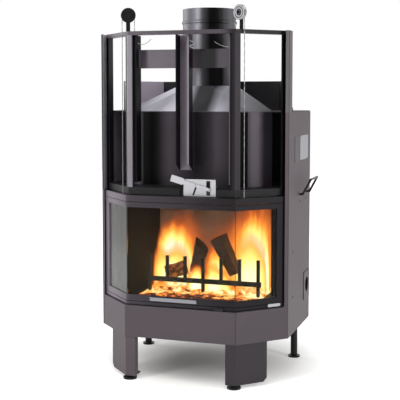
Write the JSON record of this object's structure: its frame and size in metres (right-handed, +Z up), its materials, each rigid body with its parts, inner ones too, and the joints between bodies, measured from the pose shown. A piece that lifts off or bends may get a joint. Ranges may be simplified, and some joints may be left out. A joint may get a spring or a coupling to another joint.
{
  "type": "fireplace insert",
  "caption": "Prismatic wood-burning fireplace insert on legs, with a glazed three-facet door that lifts on counterweighted cables, a throat damper lever, an air slide and a flue collar.",
  "frame": {"origin": "on the floor, straight under the flue's axis", "axes": "+X to the right as seen from the front, +Y to the back, +Z up"},
  "size_m": [0.8304, 0.56, 1.464],
  "materials": {
    "shell_paint": "satin heat-proof paint",
    "frame_paint": "satin heat-proof paint",
    "flue_paint": "satin heat-proof paint with a soft sheen",
    "fire_paint": "matt heat-proof paint",
    "door_paint": "matt heat-proof paint",
    "black_parts": "matt black",
    "cast_iron": "rough cast",
    "fire_brick": "matt, sooty",
    "zinc": "zinc plated",
    "bright_strip": "polished",
    "pulley_metal": "turned, dark rim",
    "cable": "stranded wire",
    "glass": "clear heat-proof glass"
  },
  "bodies": {
    "body": {"air_inlet": "shell_paint", "apron": "shell_paint", "ash_grate": "cast_iron", "baffle": "fire_brick", "base_pan": "shell_paint", "body_cover": "shell_paint", "cable_wrap_left": "cable", "cable_wrap_right": "cable", "centre_post": "frame_paint", "corner_post_left": "frame_paint", "corner_post_right": "frame_paint", "cross_plate": "frame_paint", "damper_plate": "zinc", "end_post_left": "frame_paint", "end_post_right": "frame_paint", "firebox_roof": "fire_paint", "firebox_shell": "fire_paint", "flue": "flue_paint", "foot_front_left": "black_parts", "foot_front_right": "black_parts", "handle": "frame_paint", "hearth": "cast_iron", "hood": "flue_paint", "leg_front_left": "shell_paint", "leg_front_right": "shell_paint", "leg_rear_left": "shell_paint", "leg_rear_right": "shell_paint", "lining_back": "fire_brick", "lining_left": "fire_brick", "lining_right": "fire_brick", "log_retainer": "cast_iron", "mouth_frame": "fire_paint", "pulley_bracket_left": "frame_paint", "pulley_bracket_right": "frame_paint", "rear_panel": "shell_paint", "rear_shroud": "shell_paint", "side_panel_left": "shell_paint", "side_panel_right": "shell_paint", "smoke_box": "flue_paint", "top_rail": "frame_paint"},
    "carriage": {"door_carriage": "door_paint", "guide_shoe_left": "black_parts", "guide_shoe_right": "black_parts", "cable_door_left": "cable", "cable_door_right": "cable"},
    "glazed_door": {"glazed_frame": "door_paint", "glass_front": "glass", "glass_left": "glass", "glass_right": "glass", "door_pull": "bright_strip", "door_catch": "zinc"},
    "weight_left": {"counterweight_left": "cast_iron", "cable_weight_left": "cable"},
    "weight_right": {"counterweight_right": "cast_iron", "cable_weight_right": "cable"},
    "pulley_left": {"pulley_left": "pulley_metal"},
    "pulley_right": {"pulley_right": "pulley_metal"},
    "damper": {"damper_lever": "zinc", "damper_flap": "zinc"},
    "air_slider": {"air_knob": "black_parts"}
  },
  "joints": [
    {"name": "door_lift", "type": "slide", "parent": "body", "child": "carriage", "axis": [0, 0, 1], "range_m": [0, 0.4], "deforming": ["cable_door_left", "cable_door_right"]},
    {"name": "glass_swing", "type": "hinge", "parent": "carriage", "child": "glazed_door", "pos_m": [-0.36182, -0.22692, 0.507], "axis": [0, 0, -1], "range_deg": [0, 80]},
    {"name": "weight_left_drop", "type": "slide", "parent": "body", "child": "weight_left", "axis": [0, 0, 1], "range_m": [-0.4, 0], "deforming": ["cable_weight_left"]},
    {"name": "weight_right_drop", "type": "slide", "parent": "body", "child": "weight_right", "axis": [0, 0, 1], "range_m": [-0.4, 0], "deforming": ["cable_weight_right"]},
    {"name": "pulley_left_turn", "type": "hinge", "parent": "body", "child": "pulley_left", "pos_m": [-0.22453, -0.33006, 1.421], "axis": [-0.454, 0.891, 0], "range_deg": [0, 955]},
    {"name": "pulley_right_turn", "type": "hinge", "parent": "body", "child": "pulley_right", "pos_m": [0.22453, -0.33006, 1.421], "axis": [-0.454, -0.891, 0], "range_deg": [0, 955]},
    {"name": "damper_turn", "type": "hinge", "parent": "body", "child": "damper", "pos_m": [0.052, -0.35, 0.7708], "axis": [0, 1, 0], "range_deg": [-12, 12]},
    {"name": "air_slide", "type": "slide", "parent": "body", "child": "air_slider", "axis": [1, 0, 0], "range_m": [-0.03, 0.03]}
  ],
  "couplings": [
    {"joint": "weight_left_drop", "follows": "door_lift", "ratio": -1},
    {"joint": "weight_right_drop", "follows": "door_lift", "ratio": -1},
    {"joint": "pulley_left_turn", "follows": "door_lift", "rad_per_m": 41.494},
    {"joint": "pulley_right_turn", "follows": "door_lift", "rad_per_m": 41.494}
  ]
}
